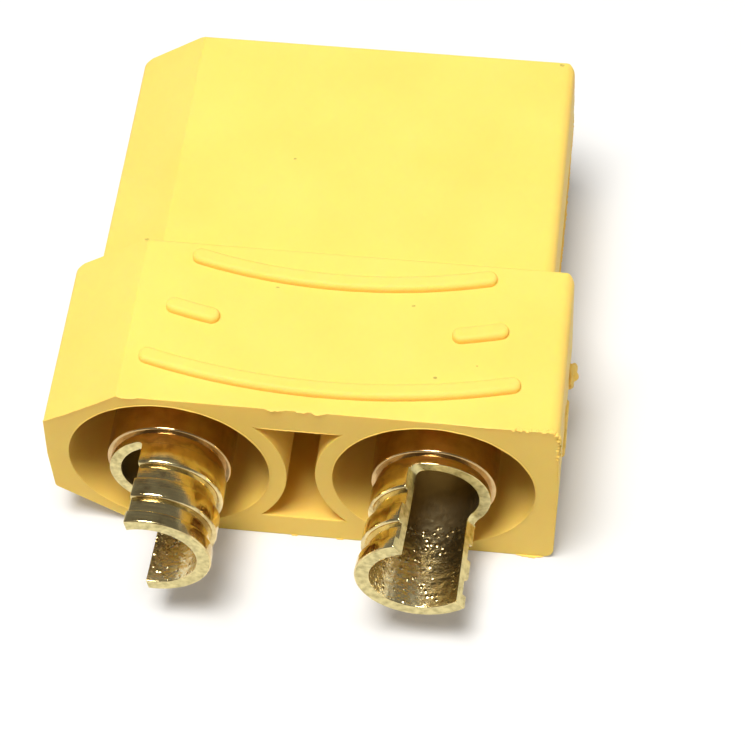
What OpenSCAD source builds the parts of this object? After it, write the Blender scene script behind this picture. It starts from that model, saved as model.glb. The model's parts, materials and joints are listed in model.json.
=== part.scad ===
// Two-pole high-current battery connector, socket half, lying on the broad face of its grip.
// X runs across the poles with the positive one on +X, Y points to the mating end, Z is up.

/* [Poles] */
// Distance between the two contact axes
contact_pitch = 10.9; // [10.2:0.1:14]

/* [Grip] */
// Length of the grip from the solder face to the step
grip_l = 8.05; // [7.5:0.05:11]
// Diameter of the open well round each solder cup
well_d = 8.3; // [7.7:0.1:8.9]
// Depth of the wells and of the core pocket between them
well_depth = 6; // [4.5:0.1:8]
// Wall beside the wells
well_side_wall = 0.85; // [0.6:0.05:2]
// Wall above and below the wells
well_top_wall = 0.45; // [0.35:0.05:1.5]
// Wall between each well and the core pocket
pocket_wall = 0.72; // [0.5:0.02:1]
// Height of the core pocket
pocket_h = 6.4; // [4:0.1:7]

/* [Bevels on the negative side] */
// Slope of both bevels
bevel_angle = 35; // [28:0.5:48]
// Wall between a bevel and the negative well
bevel_wall = 0.63; // [0.5:0.01:1]

/* [Mating block] */
// Step from the grip in to the block on the straight sides
block_step = 0.85; // [0.4:0.05:1.1]
// Step from the grip bevels in to the block bevels
bevel_step = 0.95; // [0.4:0.05:1.1]
// Thickness of the wall that the contact shoulders seat on
partition_l = 2.6; // [2:0.1:4]
// Lead-in at the mouth of each socket hole
mouth_lead = 0.35; // [0.1:0.05:0.6]

/* [Moulding] */
// Swell of the straight sides at the mid-height parting line
side_draft = 0.08; // [0.02:0.01:0.2]
// Radius of the long square corners
corner_r = 0.5; // [0.2:0.05:0.8]
// Radius of the long bevel corners
bevel_r = 0.25; // [0.1:0.05:0.5]
// Radius of the upright corners at the front of the grip and the block
nose_r = 0.6; // [0.3:0.05:1]
// Radius of the front edges of the grip and the block
edge_r = 0.2; // [0.1:0.05:0.4]

/* [Raised ribs] */
// Width of a rib
rib_w = 0.7; // [0.5:0.05:1]
// Height of a rib above the face
rib_relief = 0.32; // [0.1:0.02:0.5]
// Radius of the soft top edges of a rib
rib_edge_r = 0.2; // [0.05:0.01:0.22]
// Radius of the long rib near the solder face
rib_arc_r = 28.3; // [20:0.1:45]
// Lowest point of the long rib from the solder face
rib_back = 1.08; // [0.8:0.02:2]
// Ends of the short rib from the step
rib_front = 0.8; // [0.6:0.05:2]
// Space from the rib pattern to the sides of the flat face
rib_side = 1.5; // [0.8:0.05:3]
// Shift of the rib pattern toward the negative side
rib_shift = 0.57; // [0:0.01:0.6]
// Share of the pattern's half angle that each dash takes
dash_share = 0.24; // [0.1:0.01:0.6]

/* [Contact] */
// Bore of the solder cup
cup_bore_d = 3.8; // [3.4:0.1:4.2]
// Wall of the solder cup between its grooves
cup_wall = 0.58; // [0.5:0.02:0.7]
// Length of the cup behind the solder face
cup_out = 4.45; // [4.2:0.05:7]
// Web left between the drilled ends of the cup bore and the socket bore
bore_web = 1; // [0.6:0.1:3]
// Depth of the two grooves round the cup
groove_depth = 0.23; // [0.1:0.01:0.25]
// Length of each groove
groove_l = 0.7; // [0.4:0.05:0.8]
// Distance from one groove to the next
groove_pitch = 1.6; // [1.2:0.05:1.7]
// Land behind the last groove
tail_l = 0.55; // [0.3:0.05:0.7]
// Length of the neck between cup and shank
neck_l = 0.6; // [0.5:0.05:0.75]
// Depth of the neck below the cup
neck_depth = 0.1; // [0.05:0.01:0.2]
// Step from the cup out to the shank
shank_step = 0.09; // [0.05:0.01:0.2]
// Broken edge on the turned lands and ends
edge_break = 0.06; // [0.02:0.01:0.08]
// Step from the shank out to the socket, the seat on the partition
seat_step = 0.23; // [0.15:0.01:0.5]
// Height of the barb that holds the contact in the partition
barb_h = 0.14; // [0.06:0.01:0.14]
// Length of the barb's ramp
barb_l = 1.1; // [0.5:0.1:1.3]
// Bore of the socket, for the mating pin
socket_bore_d = 4.5; // [3.8:0.1:4.8]
// Length of the socket in front of its seat
socket_l = 11.05; // [8:0.05:16]
// Reach of the socket bore behind the seat
socket_back = 0.9; // [0:0.1:1.2]
// Chamfer in the mouth of the socket
socket_lead = 0.25; // [0.1:0.05:0.3]
// Depth of the socket's mouth behind the front of the block
socket_recess = 0.6; // [0.4:0.05:2]

/* [Solder windows] */
// Plain cup wall left in front of the window, behind the solder face
window_back = 0.45; // [0.2:0.05:1]
// Distance from the contact axis to the flat of the window
window_flat = 0.5; // [0:0.05:1]
// Radius in the inner corner of the window
window_r = 0.3; // [0.1:0.05:0.4]
// Turn of the positive window, clockwise from up as seen from behind
positive_turn = 56; // [-180:1:180]
// Turn of the negative window, clockwise from up as seen from behind
negative_turn = -97; // [-180:1:180]

/* [Fits] */
// Radial clearance of the contacts in the housing
contact_fit = 0.03; // [0.01:0.01:0.06]

/* [Hidden] */
$fn = 96;
arc_steps = 6;
drill_angle = 118;
// Overlap of joined solids, and overrun of cuts past a face
join = 0.5;
overrun = 1;
// Overrun that keeps a rounding outline off the faces it blends
skim = 0.02;
// Share of a rib swept from each end, so that the two sweeps overlap in the middle
sweep_share = 0.6;

well_r = well_d / 2;
grip_half_w = contact_pitch / 2 + well_r + well_side_wall;
grip_half_h = well_r + well_top_wall;
bevel_reach = well_r + bevel_wall;
block_half_w = grip_half_w - block_step;
block_half_h = grip_half_h - block_step;
block_bevel_reach = bevel_reach - bevel_step;

cup_r = cup_bore_d / 2 + cup_wall;
groove_r = cup_r - groove_depth;
neck_r = cup_r - neck_depth;
shank_r = cup_r + shank_step;
barb_r = shank_r + barb_h;
socket_r = shank_r + seat_step;
socket_bore_r = socket_bore_d / 2;

// Places along a contact, from the solder face toward the mating end
seat_z = well_depth + partition_l;
socket_mouth_z = seat_z + socket_l;
front_z = socket_mouth_z + socket_recess;
barb_z = well_depth + (partition_l + barb_l) / 2;

// Places along Y, with the origin under the middle of the whole part
back_y = -(front_z - cup_out) / 2;
step_y = back_y + grip_l;
front_y = back_y + front_z;
axis_z = grip_half_h;

function unit(v) = v / norm(v);

// One corner of an outline as an arc, or as the bare point where the radius is zero
function corner_arc(before, at, after, r) =
    r == 0 ? [at] :
    let (
        u = unit(before - at),
        v = unit(after - at),
        half = acos(u * v) / 2,
        centre = at + unit(u + v) * r / sin(half),
        first = at + u * r / tan(half) - centre,
        last = at + v * r / tan(half) - centre,
        sweep = 180 - 2 * half
    )
    [for (k = [0 : arc_steps])
        centre + (first * sin(sweep * (1 - k / arc_steps)) + last * sin(sweep * k / arc_steps)) / sin(sweep)];

// An outline given as [point, radius] corners
function rounded(corners) =
    let (n = len(corners))
    [for (i = [0 : n - 1])
        each corner_arc(corners[(i + n - 1) % n][0], corners[i][0], corners[(i + 1) % n][0], corners[i][1])];

// Where a bevel at a given distance from the negative axis meets the side and the broad face
function bevel_side_z(half_w, reach) =
    (reach - (half_w - contact_pitch / 2) * sin(bevel_angle)) / cos(bevel_angle);
function bevel_top_x(half_h, reach) =
    -contact_pitch / 2 - (reach - half_h * cos(bevel_angle)) / sin(bevel_angle);

// Cross section with two square corners on +X and two bevels on -X, round the contact height
module section(half_w, half_h, reach) {
    side_z = bevel_side_z(half_w, reach);
    top_x = bevel_top_x(half_h, reach);
    polygon(rounded([
        [[half_w, -half_h], corner_r],
        [[half_w + side_draft, 0], 0],
        [[half_w, half_h], corner_r],
        [[top_x, half_h], bevel_r],
        [[-half_w, side_z], bevel_r],
        [[-half_w - side_draft, 0], 0],
        [[-half_w, -side_z], bevel_r],
        [[top_x, -half_h], bevel_r]
    ]));
}

// A moulded bar along Y with a sharp back end and a rounded front end
module moulded_bar(half_w, half_h, reach, y0, y1) {
    side = half_w + side_draft + skim;
    top = half_h + skim;
    intersection() {
        translate([0, y1 + overrun, axis_z]) rotate([90, 0, 0])
            linear_extrude(y1 + overrun - y0) section(half_w, half_h, reach);
        translate([0, 0, axis_z - top - overrun])
            linear_extrude(2 * (top + overrun)) polygon(rounded([
                [[-side, y0 - overrun], 0], [[side, y0 - overrun], 0],
                [[side, y1 + skim], nose_r], [[-side, y1 + skim], nose_r]
            ]));
        translate([-side - overrun, 0, axis_z]) rotate([90, 0, 90])
            linear_extrude(2 * (side + overrun)) polygon(rounded([
                [[y0 - overrun, -top], 0], [[y1, -top], edge_r],
                [[y1, top], edge_r], [[y0 - overrun, top], 0]
            ]));
    }
}

// Puts a shape made along +Z from the solder face onto one contact axis
module on_axis(side) {
    translate([side * contact_pitch / 2, back_y, axis_z]) rotate([-90, 0, 0]) children();
}

// Cross section of a raised rib, with its foot set into the face
module rib_section() {
    polygon(rounded([
        [[-rib_w / 2, -well_top_wall / 2], 0], [[rib_w / 2, -well_top_wall / 2], 0],
        [[rib_w / 2, rib_relief], rib_edge_r], [[-rib_w / 2, rib_relief], rib_edge_r]
    ]));
}

// A rib along an arc round the pattern's centre, swept inward from each of its round ends
module rib(arc_r, from_angle, to_angle) {
    sweep = (to_angle - from_angle) * sweep_share;
    for (end = [[from_angle, sweep, 180], [to_angle, -sweep, 0]])
        rotate([0, 0, end[0] - 90]) {
            rotate_extrude(angle = end[1], $fn = 360) translate([arc_r, 0]) rib_section();
            translate([arc_r, 0, 0]) rotate([0, 0, end[2]]) rotate_extrude(angle = 180) intersection() {
                rib_section();
                translate([0, -rib_w]) square([rib_w, 2 * rib_w]);
            }
        }
}

// Finger ribs on the upper broad face: two long arcs, and a dash at each end of the bare field
module ribs() {
    face_left = bevel_top_x(grip_half_h, bevel_reach);
    centre_x = (face_left + grip_half_w) / 2 - rib_shift;
    half_angle = asin(((grip_half_w - face_left) / 2 - rib_side) / rib_arc_r);
    inner_r = (rib_back + rib_arc_r - grip_l + rib_front) / cos(half_angle);
    dash_r = (rib_arc_r + inner_r) / 2;
    dash_from = half_angle * (1 - dash_share);
    translate([centre_x, back_y + rib_back + rib_arc_r, 2 * grip_half_h]) {
        rib(rib_arc_r, -half_angle, half_angle);
        rib(inner_r, -half_angle, half_angle);
        rib(dash_r, dash_from, half_angle);
        rib(dash_r, -half_angle, -dash_from);
    }
}

// Hourglass pocket that cores out the moulding between the two wells
module core_pocket() {
    difference() {
        translate([-contact_pitch / 2, back_y - overrun, axis_z - pocket_h / 2])
            cube([contact_pitch, well_depth + overrun, pocket_h]);
        for (side = [-1, 1])
            on_axis(side) translate([0, 0, -2 * overrun])
                cylinder(r = well_r + pocket_wall, h = well_depth + 3 * overrun);
    }
}

// Stepped hole for one contact: well, partition with the barb's groove, seat and socket hole
module contact_hole() {
    barb_end = barb_z + contact_fit;
    translate([0, 0, -overrun]) cylinder(r = well_r, h = well_depth + overrun);
    rotate_extrude() polygon([
        [0, well_depth - join],
        [shank_r + contact_fit, well_depth - join],
        [shank_r + contact_fit, barb_z - barb_l],
        [barb_r + contact_fit, barb_end],
        [shank_r + contact_fit, barb_end],
        [shank_r + contact_fit, seat_z],
        [socket_r + contact_fit, seat_z],
        [socket_r + contact_fit, front_z - mouth_lead],
        [socket_r + contact_fit + mouth_lead, front_z],
        [socket_r + contact_fit + mouth_lead, front_z + overrun],
        [0, front_z + overrun]
    ]);
}

module housing() {
    color([0.97, 0.83, 0.22]) difference() {
        union() {
            moulded_bar(grip_half_w, grip_half_h, bevel_reach, back_y, step_y);
            moulded_bar(block_half_w, block_half_h, block_bevel_reach, step_y - join, front_y);
            ribs();
        }
        core_pocket();
        for (side = [-1, 1])
            on_axis(side) contact_hole();
    }
}

// Outline of one groove round the cup, starting at z
function groove(z) = [
    [cup_r, z - edge_break],
    [cup_r - edge_break, z],
    [groove_r, z],
    [groove_r, z + groove_l],
    [cup_r - edge_break, z + groove_l],
    [cup_r, z + groove_l + edge_break]
];

// Turned contact along +Z: grooved solder cup, neck, shank with its barb, socket tube
module turned_contact() {
    tail_z = -cup_out;
    drill_rise = 1 / tan(drill_angle / 2);
    socket_floor = seat_z - socket_back;
    socket_tip = socket_floor - socket_bore_r * drill_rise;
    cup_tip = socket_tip - bore_web;
    cup_floor = cup_tip - cup_bore_d / 2 * drill_rise;
    rotate_extrude() polygon(concat(
        [[cup_bore_d / 2, tail_z], [cup_r - edge_break, tail_z], [cup_r, tail_z + edge_break]],
        groove(tail_z + tail_l),
        groove(tail_z + tail_l + groove_pitch),
        [
            [cup_r, -neck_l],
            [neck_r, -neck_l],
            [neck_r, 0],
            [shank_r - edge_break, 0],
            [shank_r, edge_break],
            [shank_r, barb_z - barb_l],
            [barb_r, barb_z],
            [shank_r, barb_z],
            [shank_r, seat_z],
            [socket_r, seat_z],
            [socket_r, socket_mouth_z - edge_break],
            [socket_r - edge_break, socket_mouth_z],
            [socket_bore_r + socket_lead, socket_mouth_z],
            [socket_bore_r, socket_mouth_z - socket_lead],
            [socket_bore_r, socket_floor],
            [0, socket_tip],
            [0, cup_tip],
            [cup_bore_d / 2, cup_floor]
        ]
    ));
}

// Cut that opens the cup along one side, from the tail to just behind the solder face
module window(turn) {
    rotate([0, 0, turn - 90]) rotate([90, 0, 0])
        linear_extrude(4 * shank_r, center = true) polygon(rounded([
            [[window_flat, -window_back], window_r],
            [[window_flat, -cup_out - overrun], 0],
            [[2 * shank_r, -cup_out - overrun], 0],
            [[2 * shank_r, -window_back], 0]
        ]));
}

module contact(side, turn) {
    color([0.80, 0.66, 0.33]) on_axis(side) difference() {
        turned_contact();
        window(turn);
    }
}

module positive_contact() {
    contact(1, positive_turn);
}

module negative_contact() {
    contact(-1, negative_turn);
}

housing();
positive_contact();
negative_contact();
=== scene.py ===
import json
import math
import random

import bmesh
import bpy
from mathutils import Matrix, Vector, noise


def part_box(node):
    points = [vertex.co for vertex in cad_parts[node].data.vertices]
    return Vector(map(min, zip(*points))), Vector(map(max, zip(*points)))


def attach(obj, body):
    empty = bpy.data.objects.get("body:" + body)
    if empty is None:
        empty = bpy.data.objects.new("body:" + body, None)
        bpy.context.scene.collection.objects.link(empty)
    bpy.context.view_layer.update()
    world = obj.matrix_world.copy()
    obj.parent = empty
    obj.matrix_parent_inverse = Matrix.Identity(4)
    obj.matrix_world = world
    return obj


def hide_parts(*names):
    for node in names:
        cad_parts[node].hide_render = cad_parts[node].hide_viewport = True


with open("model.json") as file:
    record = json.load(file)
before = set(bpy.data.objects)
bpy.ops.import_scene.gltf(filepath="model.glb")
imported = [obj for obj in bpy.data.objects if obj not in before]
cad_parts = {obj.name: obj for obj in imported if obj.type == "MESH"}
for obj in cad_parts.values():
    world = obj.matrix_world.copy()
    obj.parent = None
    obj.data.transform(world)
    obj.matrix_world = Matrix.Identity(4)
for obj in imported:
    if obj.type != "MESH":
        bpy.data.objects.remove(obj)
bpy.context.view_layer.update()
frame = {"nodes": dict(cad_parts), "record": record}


# Housing
# One injection moulding in yellow nylon: the grip, two wells with the core pocket between them, the finger
# ribs and the mating block. Its edges leave the tool with a small break, and both contacts press into it.
mm = 0.001
weld_distance = 0.001 * mm
flat_angle = math.radians(0.2)
sharp_angle = math.radians(30)
housing_edge_break = 0.05 * mm
housing_translucency = 0.35
nylon_shades = [(0.30, (0.93, 0.618, 0.128)), (0.70, (0.96, 0.655, 0.143))]
nylon_inner_light = (1.0, 0.45, 0.08)
nylon_light_reach = 0.5 * mm
nylon_roughness = (0.42, 0.58)
noise_span = (0.3, 0.7)


def finished_piece(name, work, sharp_from=sharp_angle):
    """A smooth-shaded piece of the object from an edited mesh, with sharp edges from a given angle."""
    work.normal_update()
    for face in work.faces:
        face.smooth = True
    for edge in work.edges:
        edge.smooth = edge.calc_face_angle() < sharp_from
    mesh = bpy.data.meshes.new(name)
    work.to_mesh(mesh)
    work.free()
    piece = bpy.data.objects.new(name, mesh)
    bpy.context.scene.collection.objects.link(piece)
    even = piece.modifiers.new("even_shading", "WEIGHTED_NORMAL")
    even.keep_sharp = True
    even.weight = 100
    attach(piece, "root")
    return piece


def round_edges(work, edges, width, steps=2, held_apart=False):
    """A rounding of a given width on some edges of a mesh."""
    bmesh.ops.bevel(work, geom=edges, affect="EDGES", offset=width, offset_type="OFFSET",
                    segments=steps, profile=0.5, clamp_overlap=held_apart)


def new_finish(name):
    """A new material with its node tree, its shader and the coordinates of the piece that has it."""
    finish = bpy.data.materials.new(name)
    finish.use_nodes = True
    tree = finish.node_tree
    shader = tree.nodes["Principled BSDF"]
    place = tree.nodes.new("ShaderNodeTexCoord").outputs["Object"]
    return finish, tree, shader, place


def grain(tree, place, per_metre, detail, stretch=None):
    """Procedural noise of so many cells per metre, drawn out along an axis where stretch is given."""
    if stretch:
        drawn = tree.nodes.new("ShaderNodeMapping")
        drawn.inputs["Scale"].default_value = stretch
        tree.links.new(place, drawn.inputs["Vector"])
        place = drawn.outputs["Vector"]
    cells = tree.nodes.new("ShaderNodeTexNoise")
    cells.inputs["Scale"].default_value = per_metre
    cells.inputs["Detail"].default_value = detail
    tree.links.new(place, cells.inputs["Vector"])
    return cells.outputs["Fac"]


def ramp(tree, value, shades):
    """Colours spread over a value, from (position, (red, green, blue)) shades."""
    colours = tree.nodes.new("ShaderNodeValToRGB")
    while len(colours.color_ramp.elements) < len(shades):
        colours.color_ramp.elements.new(0.5)
    for element, (position, colour) in zip(colours.color_ramp.elements, shades):
        element.position = position
        element.color = (*colour, 1.0)
    tree.links.new(value, colours.inputs["Fac"])
    return colours.outputs["Color"]


def between(tree, value, span, new_span):
    """A value carried over from one span to another and held at its ends."""
    carried = tree.nodes.new("ShaderNodeMapRange")
    carried.inputs["From Min"].default_value = span[0]
    carried.inputs["From Max"].default_value = span[1]
    carried.inputs["To Min"].default_value = new_span[0]
    carried.inputs["To Max"].default_value = new_span[1]
    tree.links.new(value, carried.inputs["Value"])
    return carried.outputs["Result"]


def raise_surface(tree, shader, height, strength, depth):
    """Fine relief in the shading from a height value, on top of any that is there already."""
    relief = tree.nodes.new("ShaderNodeBump")
    relief.inputs["Strength"].default_value = strength
    relief.inputs["Distance"].default_value = depth
    tree.links.new(height, relief.inputs["Height"])
    if shader.inputs["Normal"].links:
        tree.links.new(shader.inputs["Normal"].links[0].from_socket, relief.inputs["Normal"])
    tree.links.new(relief.outputs["Normal"], shader.inputs["Normal"])


def nylon_finish(name, translucency):
    """Yellow nylon with the fine texture of the tool, and a share of light that spreads inside it."""
    finish, tree, shader, place = new_finish(name)
    clouding = grain(tree, place, per_metre=260, detail=4.0)
    tree.links.new(ramp(tree, clouding, nylon_shades), shader.inputs["Base Color"])
    tool_texture = grain(tree, place, per_metre=7500, detail=2.0)
    tree.links.new(between(tree, tool_texture, noise_span, nylon_roughness), shader.inputs["Roughness"])
    raise_surface(tree, shader, tool_texture, strength=0.25, depth=0.010 * mm)
    shader.inputs["IOR"].default_value = 1.53
    shader.inputs["Specular IOR Level"].default_value = 0.12
    shader.inputs["Subsurface Weight"].default_value = translucency
    shader.inputs["Subsurface Radius"].default_value = nylon_inner_light
    shader.inputs["Subsurface Scale"].default_value = nylon_light_reach
    return finish


work = bmesh.new()
work.from_mesh(frame["nodes"]["housing"].data)
bmesh.ops.remove_doubles(work, verts=work.verts, dist=weld_distance)
bmesh.ops.dissolve_limit(work, angle_limit=flat_angle, verts=work.verts, edges=work.edges)
outer_edges = []
for edge in work.edges:
    if len(edge.link_faces) == 2 and edge.is_convex and edge.calc_face_angle() > sharp_angle:
        outer_edges.append(edge)
round_edges(work, outer_edges, housing_edge_break)
housing = finished_piece("housing_moulding", work)
housing.data.materials.append(nylon_finish("yellow_nylon", housing_translucency))
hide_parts("housing")


# Contacts
# Turned brass with a bright gold plate: a grooved solder cup, a shank with a barb, and a tube for the mating
# pin. Each is pressed in from the front until its shoulder seats, and its cup is milled open along one side.
contact_sides = 96
contact_sharp_angle = math.radians(22)
cup_r = 2.48 * mm
groove_r = 2.25 * mm
neck_r = 2.38 * mm
shank_r = 2.57 * mm
barb_r = 2.71 * mm
socket_r = 2.80 * mm
# Places along the axis are measured from the solder face, toward the mating end
groove_starts = (-3.90 * mm, -2.30 * mm)
groove_length = 0.70 * mm
neck_start = -0.60 * mm
barb_start = 6.75 * mm
barb_end = 7.85 * mm
shoulder = 8.60 * mm
socket_lead = 0.25 * mm
fine_edge_r = 0.04 * mm
tail_edge_r = 0.08 * mm
groove_lip_r = 0.14 * mm
collar_edge_r = 0.09 * mm
barb_edge_r = 0.03 * mm
mouth_edge_r = 0.06 * mm
lead_start_r = 0.03 * mm
lead_end_r = 0.05 * mm
drill_point = math.radians(118)
drill_rise = 1 / math.tan(drill_point / 2)
bore_row = 0.09 * mm
bore_unevenness = 0.005 * mm
bore_pits_per_metre = 4200
window_end = -0.45 * mm
window_flat = 0.50 * mm
window_corner_r = 0.30 * mm
cutter_overrun = 1.0 * mm
cut_edge_break = 0.02 * mm
tail_face_depth = 0.02 * mm
tail_face_slope = 0.95
solder_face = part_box("housing")[0].y
mounts = {mount["name"]: mount for mount in frame["record"]["mounts"]}
plated, bored, milled = range(3)


def rounded_outline(corners, steps=5):
    """Points of an open outline from (across, along, rounding) corners, with each rounding as an arc."""
    points = []
    for index, (across, along, rounding) in enumerate(corners):
        corner = Vector((across, along))
        if rounding == 0:
            points.append(corner)
            continue
        before = (Vector(corners[index - 1][:2]) - corner).normalized()
        after = (Vector(corners[index + 1][:2]) - corner).normalized()
        half = before.angle(after) / 2
        centre = corner + (before + after).normalized() * rounding / math.sin(half)
        first = corner + before * rounding / math.tan(half) - centre
        last = corner + after * rounding / math.tan(half) - centre
        for step in range(steps + 1):
            points.append(centre + first.slerp(last, step / steps) * rounding)
    return points


def turned_blank(tail, mouth, bore_r, bore_floor, socket_bore_r, socket_floor):
    """The contact as it leaves the lathe, along +Z from the solder face at zero."""
    bore_rows = round((bore_floor - tail) / bore_row)
    bore = [(0, bore_floor + bore_r * drill_rise, 0)]
    for row in range(bore_rows):
        bore.append((bore_r, bore_floor + (tail - bore_floor) * row / bore_rows, 0))
    outside = [
        (bore_r, tail, fine_edge_r),
        (cup_r, tail, tail_edge_r),
    ]
    for start in groove_starts:
        end = start + groove_length
        outside += [
            (cup_r, start, fine_edge_r),
            (groove_r, start, 0),
            (groove_r, end, 0),
            (cup_r, end, groove_lip_r),
        ]
    outside += [
        (cup_r, neck_start, fine_edge_r),
        (neck_r, neck_start, 0),
        (neck_r, 0, 0),
        (shank_r, 0, collar_edge_r),
        (shank_r, barb_start, 0),
        (barb_r, barb_end, barb_edge_r),
        (shank_r, barb_end, 0),
        (shank_r, shoulder, 0),
        (socket_r, shoulder, fine_edge_r),
        (socket_r, mouth, mouth_edge_r),
        (socket_bore_r + socket_lead, mouth, lead_start_r),
        (socket_bore_r, mouth - socket_lead, lead_end_r),
        (socket_bore_r, socket_floor, 0),
        (0, socket_floor - socket_bore_r * drill_rise, 0),
    ]
    work = bmesh.new()
    rings = []
    for row, (across, along) in enumerate(rounded_outline(bore + outside)):
        ring = []
        for side in range(contact_sides if across > 0 else 1):
            angle = 2 * math.pi * (side + 0.5) / contact_sides
            spot = Vector((across * math.cos(angle), across * math.sin(angle), along))
            if 0 < row < len(bore):
                spot.xy *= 1 + bore_unevenness / bore_r * noise.noise(spot * bore_pits_per_metre)
            ring.append(work.verts.new(spot))
        rings.append(ring)
    for row, (near, far) in enumerate(zip(rings, rings[1:])):
        for side in range(contact_sides):
            after = (side + 1) % contact_sides
            near_edge = [near[side % len(near)], near[after % len(near)]]
            far_edge = [far[after % len(far)], far[side % len(far)]]
            face = work.faces.new(dict.fromkeys(near_edge + far_edge))
            face.material_index = bored if row < len(bore) else plated
    bmesh.ops.recalc_face_normals(work, faces=work.faces)
    return work


def sweep_face(work, corners, along):
    """A solid swept from a flat outline along a vector. It gives back the corners of the far end."""
    face = work.faces.new([work.verts.new(corner) for corner in corners])
    swept = bmesh.ops.extrude_face_region(work, geom=[face])["geom"]
    moved = [part for part in swept if isinstance(part, bmesh.types.BMVert)]
    bmesh.ops.translate(work, vec=along, verts=moved)
    bmesh.ops.recalc_face_normals(work, faces=work.faces)
    return moved


def window_cutter(tail):
    """The block that a mill takes out of the cup, on the +X side of the blank."""
    past = tail - cutter_overrun
    wide = 2 * shank_r
    outline = rounded_outline([
        (wide, window_end, 0),
        (window_flat, window_end, window_corner_r),
        (window_flat, past, 0),
        (wide, past, 0),
    ])
    work = bmesh.new()
    sweep_face(work, [(across, -wide, along) for across, along in outline], (0, 2 * wide, 0))
    for face in work.faces:
        face.material_index = milled
    return work


def loose_object(name, work, finishes):
    """A bare object for a cut, from an edited mesh."""
    mesh = bpy.data.meshes.new(name)
    work.to_mesh(mesh)
    work.free()
    for finish in finishes:
        mesh.materials.append(finish)
    part = bpy.data.objects.new(name, mesh)
    bpy.context.scene.collection.objects.link(part)
    return part


def milled_open(blank, cutter):
    """The blank with the cutter taken out of it and a small break on the cut's edges."""
    cut = blank.modifiers.new("window", "BOOLEAN")
    cut.operation = "DIFFERENCE"
    cut.solver = "EXACT"
    cut.material_mode = "INDEX"
    cut.object = cutter
    whole = blank.evaluated_get(bpy.context.evaluated_depsgraph_get())
    work = bmesh.new()
    work.from_mesh(whole.to_mesh())
    bpy.data.objects.remove(blank)
    bpy.data.objects.remove(cutter)
    cut_edges = []
    for edge in work.edges:
        if sum(face.material_index == milled for face in edge.link_faces) == 1:
            cut_edges.append(edge)
    round_edges(work, cut_edges, cut_edge_break)
    notched = [face for face in work.faces if len(face.verts) > 4]
    bmesh.ops.triangulate(work, faces=notched, quad_method="BEAUTY", ngon_method="BEAUTY")
    return work


def combined(tree, operation, first, second):
    """Two values put together by a mathematical operation."""
    joined = tree.nodes.new("ShaderNodeMath")
    joined.operation = operation
    tree.links.new(first, joined.inputs[0])
    tree.links.new(second, joined.inputs[1])
    return joined.outputs[0]


def coordinate(tree, vector, axis):
    """One coordinate of a vector."""
    parts = tree.nodes.new("ShaderNodeSeparateXYZ")
    tree.links.new(vector, parts.inputs["Vector"])
    return parts.outputs[axis]


# Painted shade: shank and ring in the well are copper-brown, shades up to 0.4; the cup is paler, from 0.6
# That darkening stands in for the well's shade and dark reflections; the plate's tone also differs at
# random.
well_shade_full_to = solder_face - 0.05 * mm
well_shade_gone_at = solder_face - 0.55 * mm
gold_tones_and_well_shade = [
    (0.00, (0.48, 0.32, 0.14)),
    (0.40, (0.66, 0.46, 0.22)),
    (0.60, (0.52, 0.39, 0.17)),
    (0.73, (0.73, 0.58, 0.27)),
    (1.00, (0.87, 0.72, 0.36)),
]
gold, tree, shader, place = new_finish("turned_gold")
patches = grain(tree, place, per_metre=1300, detail=5.0)
plating = between(tree, patches, (0.36, 0.66), (0.0, 0.4))
# Painted shade along the axis: darkest on the shank, fading to the cup's own gold past the solder face
painted_well_shade_fade = between(tree, coordinate(tree, place, "Y"), (well_shade_full_to, well_shade_gone_at), (0.0, 0.6))
gold_colour = ramp(tree, combined(tree, "ADD", plating, painted_well_shade_fade), gold_tones_and_well_shade)
tree.links.new(gold_colour, shader.inputs["Base Color"])
turning = grain(tree, place, per_metre=16000, detail=2.0, stretch=(0.03, 1.0, 0.03))
tree.links.new(between(tree, turning, noise_span, (0.10, 0.24)), shader.inputs["Roughness"])
raise_surface(tree, shader, turning, strength=0.20, depth=0.006 * mm)
ripple = grain(tree, place, per_metre=1700, detail=3.0, stretch=(1.0, 0.45, 1.0))
raise_surface(tree, shader, ripple, strength=0.60, depth=0.035 * mm)
chatter = grain(tree, place, per_metre=5200, detail=2.0, stretch=(1.0, 0.55, 1.0))
raise_surface(tree, shader, chatter, strength=0.35, depth=0.014 * mm)
shader.inputs["Metallic"].default_value = 1.0

# The bore of the cup is smooth at its floor and has raised grains toward its tail
# Its colour is painted shade, darker deep in the bore, and painted light, paler toward the open tail
bore_painted_shade_end = solder_face + 0.20 * mm
bore_painted_light_end = solder_face - 4.30 * mm
bore_painted_light_shades = [(0.05, (0.64, 0.51, 0.27)), (0.45, (0.60, 0.48, 0.24)), (0.95, (0.86, 0.74, 0.42))]
whole_span = (0.0, 1.0)
bore_gold, tree, shader, place = new_finish("cup_bore_gold")
toward_tail = between(tree, coordinate(tree, place, "Y"), (bore_painted_shade_end, bore_painted_light_end), (0.0, 0.8))
tarnish = between(tree, grain(tree, place, per_metre=4200, detail=4.0), noise_span, (0.0, 0.2))
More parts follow.
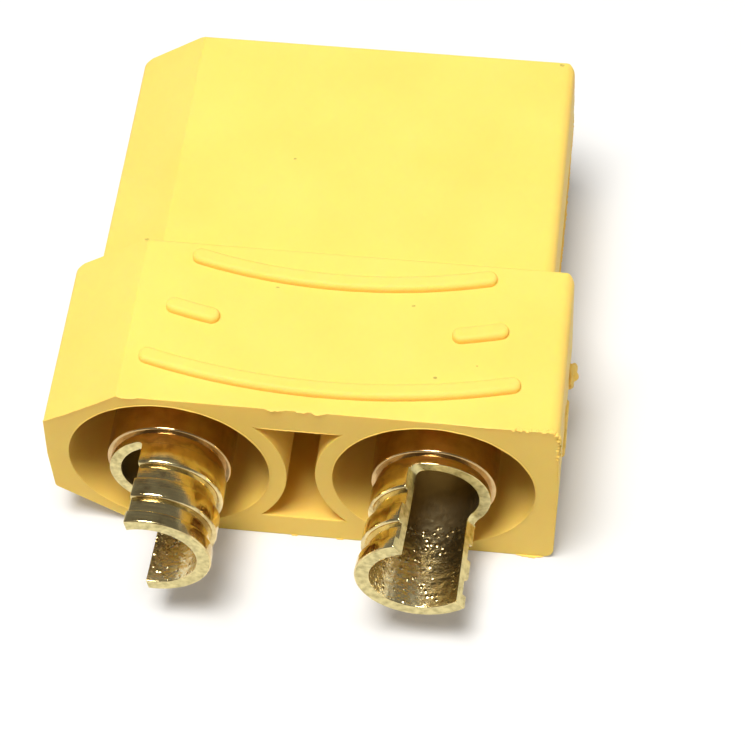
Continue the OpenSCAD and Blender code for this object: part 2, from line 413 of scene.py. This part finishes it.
# Painted light and shade along the bore, with a random tarnish on top; it also sets the roughness
bore_light_shade_and_tarnish = combined(tree, "ADD", toward_tail, tarnish)
tree.links.new(ramp(tree, bore_light_shade_and_tarnish, bore_painted_light_shades), shader.inputs["Base Color"])
tree.links.new(between(tree, bore_light_shade_and_tarnish, (0.0, 0.40), (0.42, 0.24)), shader.inputs["Roughness"])
turning = grain(tree, place, per_metre=12000, detail=2.0, stretch=(0.04, 1.0, 0.04))
raise_surface(tree, shader, turning, strength=0.45, depth=0.008 * mm)
scattered = tree.nodes.new("ShaderNodeTexVoronoi")
scattered.inputs["Scale"].default_value = 5000
tree.links.new(place, scattered.inputs["Vector"])
grains = between(tree, scattered.outputs["Distance"], (0.0, 0.46), (1.0, 0.0))
chosen = between(tree, scattered.outputs["Color"], (0.58, 0.64), whole_span)
worn = between(tree, toward_tail, (0.04, 0.22), whole_span)
grain_height = combined(tree, "MULTIPLY", grains, combined(tree, "MULTIPLY", chosen, worn))
raise_surface(tree, shader, grain_height, strength=0.9, depth=0.036 * mm)
ripple = grain(tree, place, per_metre=3600, detail=5.0)
raise_surface(tree, shader, combined(tree, "MULTIPLY", ripple, worn), strength=0.8, depth=0.045 * mm)
shader.inputs["Metallic"].default_value = 1.0

# The faces that the mill left are duller
cut_shades = [(0.34, (0.48, 0.40, 0.17)), (0.62, (0.78, 0.67, 0.32))]
cut_gold, tree, shader, place = new_finish("milled_edge_gold")
dulling = grain(tree, place, per_metre=3400, detail=5.0)
tree.links.new(ramp(tree, dulling, cut_shades), shader.inputs["Base Color"])
tree.links.new(between(tree, dulling, noise_span, (0.26, 0.40)), shader.inputs["Roughness"])
scoring = grain(tree, place, per_metre=9000, detail=2.0)
raise_surface(tree, shader, scoring, strength=0.35, depth=0.016 * mm)
shader.inputs["Metallic"].default_value = 1.0

# The windows are turned as the contacts happened to seat, and the cups have sprung a little at their tails
contact_seats = {
    "positive": {"turn": 56, "lean": (-0.15 * mm, -0.10 * mm), "spread": 0.12 * mm},
    "negative": {"turn": -97, "lean": (-0.12 * mm, 0.0), "spread": 0.05 * mm},
}
spring_power = 1.5
contact_finishes = (gold, bore_gold, cut_gold)
for pole, seat in contact_seats.items():
    node = pole + "_contact"
    low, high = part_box(node)
    cup = mounts[pole + "_cup"]
    socket = mounts[pole + "_socket"]
    axis_x = cup["pos_m"][0]
    axis_z = cup["pos_m"][2]
    tail = low.y - solder_face
    turned = turned_blank(
        tail=tail,
        mouth=high.y - solder_face,
        bore_r=cup["dims"]["r_mm"] * mm,
        bore_floor=tail + cup["dims"]["length_mm"] * mm,
        socket_bore_r=socket["dims"]["r_mm"] * mm,
        socket_floor=socket["pos_m"][1] - socket["dims"]["length_mm"] * mm / 2 - solder_face,
    )
    blank = loose_object("blank", turned, contact_finishes)
    cutter = loose_object("cutter", window_cutter(tail), contact_finishes)
    work = milled_open(blank, cutter)
    turn = math.radians(seat["turn"])
    toward_window = Vector((math.sin(turn), 0, math.cos(turn)))
    along_axis = Vector((0, 1, 0))
    across_window = along_axis.cross(toward_window)
    stand = Matrix((toward_window, across_window, along_axis)).transposed().to_4x4()
    work.transform(Matrix.Translation((axis_x, solder_face, axis_z)) @ stand)
    lean_x, lean_z = seat["lean"]
    for vert in work.verts:
        behind = (window_end + solder_face - vert.co.y) / (window_end - tail)
        if behind > 0:
            share = behind ** spring_power
            vert.co.x += share * (lean_x + seat["spread"] * (vert.co.x - axis_x) / cup_r)
            vert.co.z += share * (lean_z + seat["spread"] * (vert.co.z - axis_z) / cup_r)
    work.normal_update()
    for face in work.faces:
        at_tail = face.calc_center_median().y < low.y + tail_face_depth
        if at_tail and face.normal.y < -tail_face_slope:
            face.material_index = milled
    contact = finished_piece(pole + "_contact_turned", work, contact_sharp_angle)
    for finish in contact_finishes:
        contact.data.materials.append(finish)
    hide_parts(node)


# Flash
# Thin nylon lips, one with the housing, squeezed out where parts of the tool meet: on the rims of wells and
# pocket, in rags and crumbs on the back edges, and on the parting line and far corner of the mating block.
lip_root = 0.06 * mm
lip_foot = 0.04 * mm
lip_step = 0.07 * mm
fewest_lip_steps = 3
well_rim_r = 4.17 * mm
rim_steps = 180
rim_start_degrees = -85
rim_step_degrees = 1.94
rim_lip_height = 0.0245 * mm
rim_lip_unevenness = 0.0175 * mm
rim_cells_per_metre = 1500
backward = Vector((0, -1, 0))
sideways = Vector((1, 0, 0))
# Both ends on the solder face, across and up, and the height of the lip, in millimetres
flash_runs = [
    ((-10.43, 6.95), (-7.24, 9.18), 0.07),
    ((-7.20, 9.17), (-6.40, 9.17), 0.09),
    ((-1.27, 9.17), (-0.44, 9.17), 0.11),
    ((-0.02, 9.17), (0.43, 9.17), 0.10),
    ((0.62, 9.17), (1.18, 9.17), 0.12),
    ((6.20, 9.17), (9.80, 9.17), 0.04),
    ((10.42, 8.60), (10.49, 5.20), 0.06),
    ((10.43, 5.10), (10.43, 0.70), 0.05),
    ((-0.60, 0.04), (-0.30, 0.04), 0.08),
    ((1.30, 0.04), (1.65, 0.04), 0.06),
    ((8.90, 0.04), (10.05, 0.04), 0.12),
    ((-1.75, 7.80), (1.75, 7.80), 0.035),
]
run_end_share = 0.15
run_end_rise = 3
run_unevenness = (0.35, 1.0)
# Both ends on the block, and the heights at the start, the middle and the end, in millimetres
side_seams = [
    ((9.67, 11.90, 4.60), (9.67, 0.10, 4.60), (0.04, 0.12, 0.03)),
    ((9.60, 12.05, 7.60), (9.60, 12.05, 1.50), (0.02, 0.11, 0.05)),
]
seam_unevenness = (0.55, 1.0)
crumb_count = 80
crumb_corner_x = 9.95 * mm
crumb_corner_z = 8.70 * mm
crumb_corner_r = 0.50 * mm
crumb_share_on_top = 0.30
crumb_share_on_side = 0.30
crumb_drop = 1.40 * mm
crumb_sink = (-0.05 * mm, 0.02 * mm)
crumb_depth = (-0.02 * mm, 0.14 * mm)
crumb_width = (0.04 * mm, 0.09 * mm)
crumb_flatness = 0.7
flash_seed = 7
# A lip is too thin for light to spread inside it
lip_translucency = 0.0


def add_lip(work, spots, heights, outward):
    """A closed ridge along a line of spots, as proud as its heights and half as thick at its tip."""
    rows = []
    for index, (spot, height) in enumerate(zip(spots, heights)):
        along = spots[min(index + 1, len(spots) - 1)] - spots[max(index - 1, 0)]
        aside = along.cross(outward).normalized() * lip_root
        foot = spot - outward * lip_foot
        tip = spot + outward * height
        corners = (foot - aside / 2, foot + aside / 2, tip + aside / 4, tip - aside / 4)
        rows.append([work.verts.new(corner) for corner in corners])
    for near, far in zip(rows, rows[1:]):
        for corner in range(4):
            after = (corner + 1) % 4
            work.faces.new((near[corner], near[after], far[after], far[corner]))
    work.faces.new(rows[0])
    work.faces.new(rows[-1][::-1])


def straight_run(first, last):
    """Even spots on a straight line, from one end to the other."""
    count = max(fewest_lip_steps, round((last - first).length / lip_step))
    return [first.lerp(last, step / count) for step in range(count + 1)]


def add_lump(work, centre, size, roughness, cells_per_metre, rounds=2):
    """An uneven closed lump about a centre."""
    made = bmesh.ops.create_icosphere(work, subdivisions=rounds, radius=1.0)
    for vert in made["verts"]:
        swell = 1 + roughness * noise.noise((vert.co * size.x + centre) * cells_per_metre)
        vert.co = centre + Vector(along * reach for along, reach in zip(vert.co, size)) * swell


chance = random.Random(flash_seed)
work = bmesh.new()
for pole in contact_seats:
    axis = mounts[pole + "_cup"]["pos_m"]
    spots = []
    heights = []
    for step in range(rim_steps + 1):
        angle = math.radians(rim_start_degrees + rim_step_degrees * step)
        across = axis[0] + well_rim_r * math.cos(angle)
        up = axis[2] + well_rim_r * math.sin(angle)
        spot = Vector((across, solder_face, up))
        spots.append(spot)
        heights.append(rim_lip_height + rim_lip_unevenness * noise.noise(spot * rim_cells_per_metre))
    add_lip(work, spots, heights, backward)
for start, end, height in flash_runs:
    first = Vector((start[0] * mm, solder_face, start[1] * mm))
    last = Vector((end[0] * mm, solder_face, end[1] * mm))
    spots = straight_run(first, last)
    count = len(spots) - 1
    heights = []
    for step in range(count + 1):
        taper = min(1.0, run_end_share + run_end_rise * min(step, count - step) / count)
        heights.append(height * mm * taper * chance.uniform(*run_unevenness))
    add_lip(work, spots, heights, backward)
for start, end, (start_height, middle_height, end_height) in side_seams:
    spots = straight_run(Vector(start) * mm, Vector(end) * mm)
    count = len(spots) - 1
    heights = []
    for step in range(count + 1):
        share = step / count
        near_start = start_height * max(0, 1 - 2 * share)
        near_end = end_height * max(0, 2 * share - 1)
        near_middle = middle_height * (1 - abs(2 * share - 1))
        heights.append((near_start + near_middle + near_end) * mm * chance.uniform(*seam_unevenness))
    add_lip(work, spots, heights, sideways)
for crumb in range(crumb_count):
    share = chance.random()
    reach = crumb_corner_r + chance.uniform(*crumb_sink)
    if share < crumb_share_on_top:
        across = crumb_corner_x - chance.uniform(0.0, crumb_drop)
        up = crumb_corner_z + reach
    elif share < crumb_share_on_top + crumb_share_on_side:
        across = crumb_corner_x + reach
        up = crumb_corner_z - chance.uniform(0.0, crumb_drop)
    else:
        angle = math.radians(chance.uniform(0, 90))
        across = crumb_corner_x + reach * math.cos(angle)
        up = crumb_corner_z + reach * math.sin(angle)
    spot = Vector((across, solder_face + chance.uniform(*crumb_depth), up))
    width = chance.uniform(*crumb_width)
    crumb_size = Vector((width, width, width * crumb_flatness))
    add_lump(work, spot, crumb_size, roughness=0.5, cells_per_metre=9000)
bmesh.ops.recalc_face_normals(work, faces=work.faces)
flash = finished_piece("mould_flash", work)
thin_nylon = nylon_finish("thin_yellow_nylon", lip_translucency)
flash.data.materials.append(thin_nylon)


# Gate stub
# A torn lump of the same nylon, one with the housing. The tool was fed through the positive side at
# mid-height, and the end of the feed is left standing where it broke off.
gate_place = Vector((10.50, -1.78, 4.60)) * mm
gate_size = Vector((0.36, 0.60, 0.50)) * mm
work = bmesh.new()
add_lump(work, gate_place, gate_size, roughness=0.50, cells_per_metre=4600, rounds=4)
gate = finished_piece("gate_stub", work)
gate.data.materials.append(thin_nylon)


# Polarity sign
# A raised plus in the same nylon, moulded in one with the positive side of the grip. Its form is cut into
# the tool, so its front edges are soft and its foot runs into the housing.
sign_place = Vector((10.63, -4.45, 4.60)) * mm
sign_foot = 0.20 * mm
arm_reach = 1.25 * mm
arm_half_w = 0.28 * mm
sign_edge_r = 0.09 * mm
sign_edge_steps = 3
quarter = [(arm_reach, -arm_half_w), (arm_reach, arm_half_w), (arm_half_w, arm_half_w)]
outline = []
for turns in range(4):
    outline += quarter
    quarter = [(-up, along) for along, up in quarter]
work = bmesh.new()
foot = [sign_place + Vector((-sign_foot, along, up)) for along, up in outline]
raised = sweep_face(work, foot, (sign_foot, 0, 0))
front_edges = [edge for edge in work.edges if all(vert in raised for vert in edge.verts)]
round_edges(work, front_edges, sign_edge_r, sign_edge_steps, held_apart=True)
sign = finished_piece("plus_sign", work)
sign.data.materials.append(thin_nylon)


# Specks
# Dark grains of burnt nylon, carried along in the melt and set in the upper faces of the moulding. They lie
# almost flush, and each is given by its place across, along and up and its width, in millimetres.
speck_places = [
    (-1.88, 5.70, 8.35, 0.05),
    (-1.54, -1.87, 9.20, 0.05),
    (4.07, -2.25, 9.20, 0.05),
    (5.30, -5.73, 9.20, 0.06),
    (6.90, -4.98, 9.20, 0.03),
    (-7.28, 0.10, 9.18, 0.06),
    (9.03, 12.12, 8.347, 0.07),
]
speck_length = 1.5
speck_lift = 0.1
burnt_shades = [(0.3, (0.44, 0.33, 0.05)), (0.7, (0.60, 0.46, 0.08))]
burnt, tree, shader, place = new_finish("burnt_nylon")
charring = grain(tree, place, per_metre=9000, detail=2.0)
tree.links.new(ramp(tree, charring, burnt_shades), shader.inputs["Base Color"])
shader.inputs["Roughness"].default_value = 0.6
work = bmesh.new()
for across, along, up, width in speck_places:
    spot = Vector((across, along, up)) * mm
    speck_size = Vector((width * speck_length, width, width * speck_lift)) * mm
    add_lump(work, spot, speck_size, roughness=0.6, cells_per_metre=9000)
specks = finished_piece("burnt_specks", work)
specks.data.materials.append(burnt)


# Floor
# A plain white sheet of paper under the object, a stage piece that takes the shadow. It is shown a little
# whiter to the camera and in the metal than it lights the object.
floor_half = 0.6
paper_colour = (0.67, 0.665, 0.65, 1.0)
shown_white = 0.13
work = bmesh.new()
bmesh.ops.create_grid(work, x_segments=1, y_segments=1, size=floor_half)
floor_mesh = bpy.data.meshes.new("floor")
work.to_mesh(floor_mesh)
work.free()
floor = bpy.data.objects.new("floor", floor_mesh)
bpy.context.scene.collection.objects.link(floor)


def ray_kinds(tree):
    """Whether a ray is the camera's own, and whether it comes by way of metal or glass."""
    rays = tree.nodes.new("ShaderNodeLightPath").outputs
    mirrored = combined(tree, "MAXIMUM", rays["Is Glossy Ray"], rays["Is Transmission Ray"])
    return rays["Is Camera Ray"], mirrored


paper = bpy.data.materials.new("white_paper")
paper.use_nodes = True
tree = paper.node_tree
tree.nodes.remove(tree.nodes["Principled BSDF"])
sheet = tree.nodes.new("ShaderNodeBsdfDiffuse")
sheet.inputs["Color"].default_value = paper_colour
direct, mirrored = ray_kinds(tree)
shown = combined(tree, "MAXIMUM", direct, mirrored)
white = tree.nodes.new("ShaderNodeEmission")
tree.links.new(between(tree, shown, whole_span, (0.0, shown_white)), white.inputs["Strength"])
both = tree.nodes.new("ShaderNodeAddShader")
tree.links.new(sheet.outputs["BSDF"], both.inputs[0])
tree.links.new(white.outputs["Emission"], both.inputs[1])
tree.links.new(both.outputs["Shader"], tree.nodes["Material Output"].inputs["Surface"])
floor_mesh.materials.append(paper)


# Light
# One broad soft lamp overhead, a little to the left and toward the solder side, in a dim room that is paler
# low down on its far right. The camera sees the room as white, and the metal mirrors white near the horizon.
lamp_place = Vector((-0.045, -0.07, 0.40))
lamp_size = 0.16
lamp_watts = 2.14
pale_side = (0.80, 0.60, 0.0)
room_levels = (0.15, 0.60)
world = bpy.data.worlds.new("room")
bpy.context.scene.world = world
world.use_nodes = True
tree = world.node_tree
direction = tree.nodes.new("ShaderNodeTexCoord").outputs["Generated"]
height = coordinate(tree, direction, "Z")
near_horizon = between(tree, height, (0.12, 0.60), (1.0, 0.0))
facing = tree.nodes.new("ShaderNodeVectorMath")
facing.operation = "DOT_PRODUCT"
facing.inputs[1].default_value = pale_side
tree.links.new(direction, facing.inputs[0])
far_side = between(tree, facing.outputs["Value"], (-0.5, 0.6), (0.20, 1.0))
room_level = between(tree, combined(tree, "MULTIPLY", near_horizon, far_side), whole_span, room_levels)
direct, mirrored = ray_kinds(tree)
backdrop = between(tree, height, (0.20, 0.42), (1.0, 0.0))
shown = combined(tree, "MAXIMUM", direct, combined(tree, "MULTIPLY", mirrored, backdrop))
room = tree.nodes["Background"]
room.inputs["Color"].default_value = (1.0, 1.0, 1.0, 1.0)
tree.links.new(combined(tree, "MAXIMUM", room_level, shown), room.inputs["Strength"])
lamp_data = bpy.data.lights.new("overhead_lamp", "AREA")
lamp_data.shape = "SQUARE"
lamp_data.size = lamp_size
lamp_data.energy = lamp_watts
lamp = bpy.data.objects.new("overhead_lamp", lamp_data)
lamp.location = lamp_place
lamp.rotation_euler = (-lamp_place).to_track_quat("-Z", "Y").to_euler()
bpy.context.scene.collection.objects.link(lamp)


# Camera
# It looks down on the solder side at the photograph's angle, from about 12 cm away and with a long lens.
# Its place and its axes were fitted to the corners, edges and well rims of the housing.
camera_place = Vector((12.053, -69.353, 98.683)) * mm
camera_right = Vector((0.99306, 0.1158, -0.02043))
camera_up = Vector((-0.08223, 0.80813, 0.58324))
camera_back = camera_right.cross(camera_up)
camera_data = bpy.data.cameras.new("camera")
camera_data.sensor_width = 36.0
camera_data.lens = 133.63
camera_data.clip_start = 0.005
camera_data.clip_end = 10.0
camera = bpy.data.objects.new("camera", camera_data)
bpy.context.scene.collection.objects.link(camera)
camera_turn = Matrix((camera_right, camera_up, camera_back)).transposed()
camera.matrix_world = Matrix.Translation(camera_place) @ camera_turn.to_4x4()
bpy.context.scene.camera = camera
bpy.context.scene.view_settings.view_transform = "Standard"
